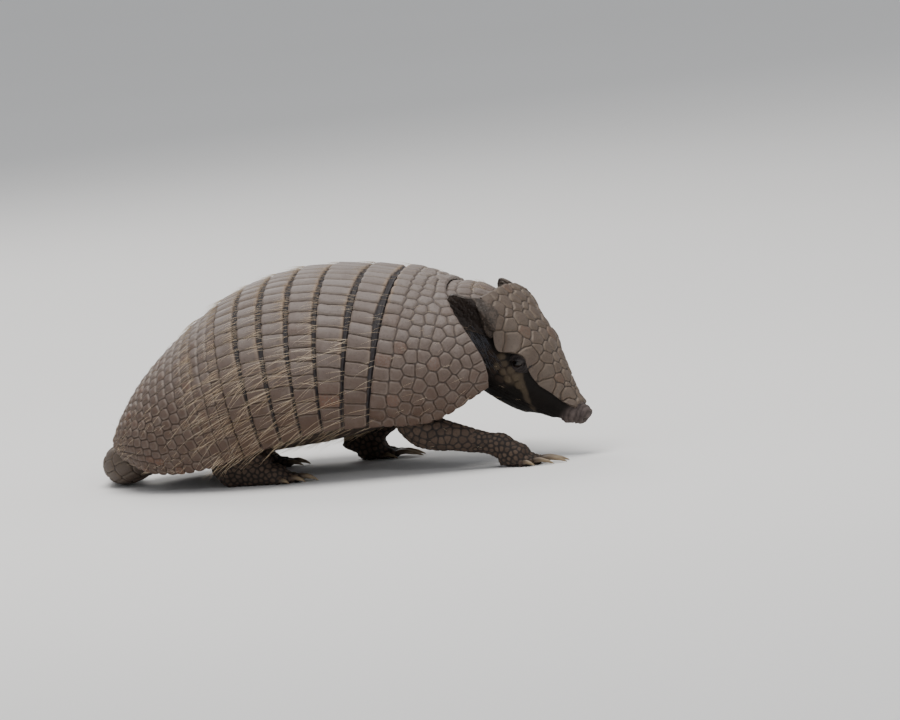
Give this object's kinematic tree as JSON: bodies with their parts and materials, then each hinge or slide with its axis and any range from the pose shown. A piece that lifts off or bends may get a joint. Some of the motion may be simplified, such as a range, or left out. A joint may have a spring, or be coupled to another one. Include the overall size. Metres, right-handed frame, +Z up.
{
  "type": "six-banded armadillo model",
  "caption": "Life-size still model of a six-banded armadillo walking with its head lowered, in plated shell, bare skin and long pale bristles.",
  "frame": {"origin": "on the floor, below the middle of the animal's box", "axes": "+X forward, the way the animal walks; +Y to the animal's left; +Z up"},
  "size_m": [0.4024, 0.258, 0.16],
  "materials": {
    "shell_plates": "dry horn-covered bony plates, grey-brown with paler edges and dark grooves",
    "head_plates": "dry horn-covered plates, warm grey-brown",
    "skin": "dark wrinkled bare skin",
    "ear_skin": "thin dark granular skin",
    "eye": "wet dark brown eyeball",
    "claw": "horn, smooth, semi-matt",
    "tail_scales": "dull plated tail skin"
  },
  "bodies": {
    "root": {"scapular_shield": "shell_plates", "band_1": "shell_plates", "band_2": "shell_plates", "band_3": "shell_plates", "band_4": "shell_plates", "band_5": "shell_plates", "band_6": "shell_plates", "pelvic_shield": "shell_plates", "nuchal_band": "shell_plates", "head_shield": "head_plates", "trunk": "skin", "neck": "skin", "head": "skin", "lower_jaw": "skin", "right_ear": "ear_skin", "right_eye": "eye", "left_ear": "ear_skin", "left_eye": "eye", "right_upper_arm": "skin", "right_forearm": "skin", "right_forefoot": "skin", "right_thigh": "skin", "right_shank": "skin", "right_hind_foot": "skin", "right_fore_claw_1": "claw", "right_fore_claw_2": "claw", "right_fore_claw_3": "claw", "right_fore_claw_4": "claw", "right_fore_claw_5": "claw", "right_hind_claw_1": "claw", "right_hind_claw_2": "claw", "right_hind_claw_3": "claw", "right_hind_claw_4": "claw", "right_hind_claw_5": "claw", "left_upper_arm": "skin", "left_forearm": "skin", "left_forefoot": "skin", "left_thigh": "skin", "left_shank": "skin", "left_hind_foot": "skin", "left_fore_claw_1": "claw", "left_fore_claw_2": "claw", "left_fore_claw_3": "claw", "left_fore_claw_4": "claw", "left_fore_claw_5": "claw", "left_hind_claw_1": "claw", "left_hind_claw_2": "claw", "left_hind_claw_3": "claw", "left_hind_claw_4": "claw", "left_hind_claw_5": "claw", "tail_ring_1": "tail_scales", "tail_ring_2": "tail_scales", "tail_ring_3": "tail_scales", "tail_shaft": "tail_scales", "tail_tip": "tail_scales"}
  },
  "joints": []
}
